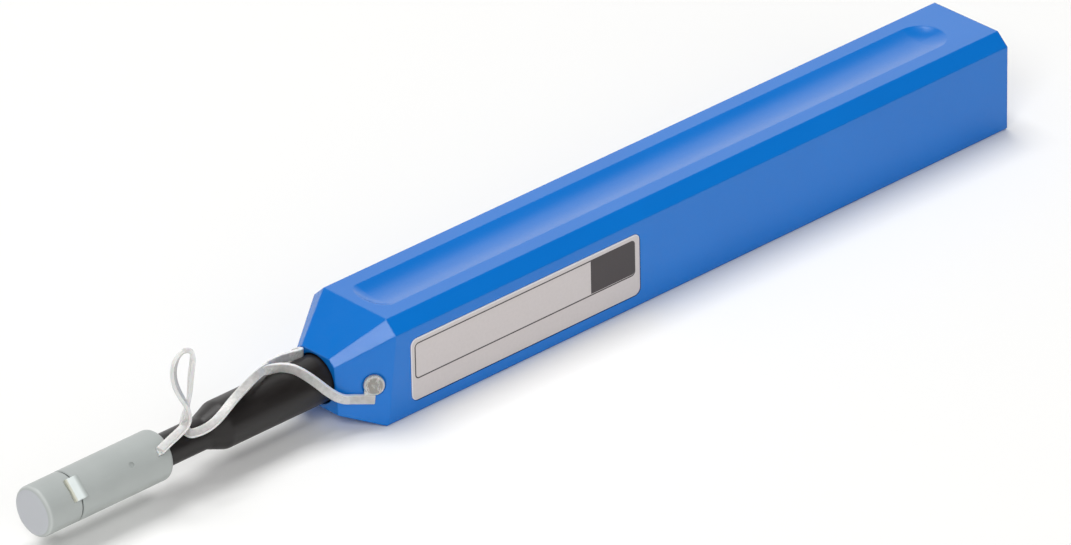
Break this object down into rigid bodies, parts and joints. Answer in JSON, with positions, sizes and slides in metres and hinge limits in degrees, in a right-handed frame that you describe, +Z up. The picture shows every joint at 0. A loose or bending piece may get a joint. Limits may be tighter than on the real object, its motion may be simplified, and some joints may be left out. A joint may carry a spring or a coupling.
{
  "type": "fibre connector cleaning pen",
  "caption": "Push-action cleaning pen for fibre connectors: square blue housing, black sliding nozzle, thread reels inside, and a tethered grey guide cap with a hinged lid.",
  "frame": {"origin": "middle of the whole pen's length and width, on the flat underside", "axes": "+X from the nozzle to the rear of the housing, +Y across, +Z up; the label faces -Y"},
  "size_m": [0.257, 0.024, 0.0299],
  "materials": {
    "blue_housing": "satin moulded ABS, fine grain",
    "blue_cover": "satin moulded ABS",
    "label_print": "silver-grey film with dark fields",
    "nozzle_black": "black moulded plastic",
    "cap_grey": "grey moulded plastic",
    "hinge_pale": "pale soft plastic",
    "tether_clear": "milky translucent soft plastic",
    "carriage_natural": "natural acetal",
    "gear_white": "white acetal",
    "reel_black": "black acetal",
    "reel_white": "white acetal",
    "thread_white": "fine microfibre thread",
    "thread_used": "used microfibre thread",
    "steel": "plain steel",
    "spring_steel": "drawn spring wire",
    "tip_ceramic": "hard white resin"
  },
  "bodies": {
    "housing": {"housing_shell": "blue_housing", "base_cover": "blue_cover", "label": "label_print", "drive_rack": "gear_white", "tether_stud_near": "tether_clear", "tether_stud_far": "tether_clear", "tether_arm_near": "tether_clear", "tether_arm_far": "tether_clear"},
    "nozzle_carriage": {"nozzle_barrel": "nozzle_black", "reel_frame": "carriage_natural", "take_up_axle": "steel", "supply_axle": "steel", "guide_roller_low": "steel", "guide_roller_high": "steel", "stop_pawl": "spring_steel", "cleaning_thread": "thread_white", "return_spring": "spring_steel", "tip_spring": "spring_steel", "tether_strap": "tether_clear"},
    "tip": {"core_rod": "steel", "tip_sleeve": "tip_ceramic"},
    "gear": {"drive_gear": "gear_white"},
    "take_up": {"take_up_reel": "reel_black", "take_up_winding": "thread_used"},
    "supply": {"supply_reel": "reel_white", "supply_winding": "thread_white"},
    "cap": {"cap_body": "cap_grey", "lid_hinge_strap": "hinge_pale", "tether_anchor": "tether_clear"},
    "lid": {"cap_lid": "cap_grey"}
  },
  "joints": [
    {"name": "nozzle_slide", "type": "slide", "parent": "housing", "child": "nozzle_carriage", "axis": [1, 0, 0], "range_m": [0, 0.01], "stiffness_N_per_m": 150, "springref_m": -0.02, "deforming": ["return_spring", "tether_strap", "tether_arm_near", "tether_arm_far"]},
    {"name": "tip_press", "type": "slide", "parent": "nozzle_carriage", "child": "tip", "axis": [1, 0, 0], "range_m": [0, 0.0015], "stiffness_N_per_m": 60, "springref_m": -0.01, "deforming": ["tip_spring"]},
    {"name": "drive_gear_turn", "type": "hinge", "parent": "nozzle_carriage", "child": "gear", "pos_m": [0.0083, 0, 0.0102], "axis": [0, 1, 0], "continuous": true},
    {"name": "take_up_turn", "type": "hinge", "parent": "nozzle_carriage", "child": "take_up", "pos_m": [0.0083, 0, 0.0102], "axis": [0, 1, 0], "continuous": true},
    {"name": "supply_turn", "type": "hinge", "parent": "nozzle_carriage", "child": "supply", "pos_m": [0.0523, 0, 0.0102], "axis": [0, 1, 0], "continuous": true},
    {"name": "cap_pull", "type": "slide", "parent": "nozzle_carriage", "child": "cap", "axis": [-1, 0, 0], "range_m": [0, 0.026], "deforming": ["tether_strap"]},
    {"name": "lid_hinge", "type": "hinge", "parent": "cap", "child": "lid", "pos_m": [-0.1199, -0.0041, 0.01329], "axis": [0, 0.6884, 0.7254], "range_deg": [0, 120], "deforming": ["lid_hinge_strap"]}
  ],
  "couplings": [
    {"joint": "drive_gear_turn", "follows": "nozzle_slide", "rad_per_m": 178.57},
    {"joint": "take_up_turn", "follows": "nozzle_slide", "rad_per_m": 178.57},
    {"joint": "supply_turn", "follows": "nozzle_slide", "rad_per_m": 92.166}
  ]
}
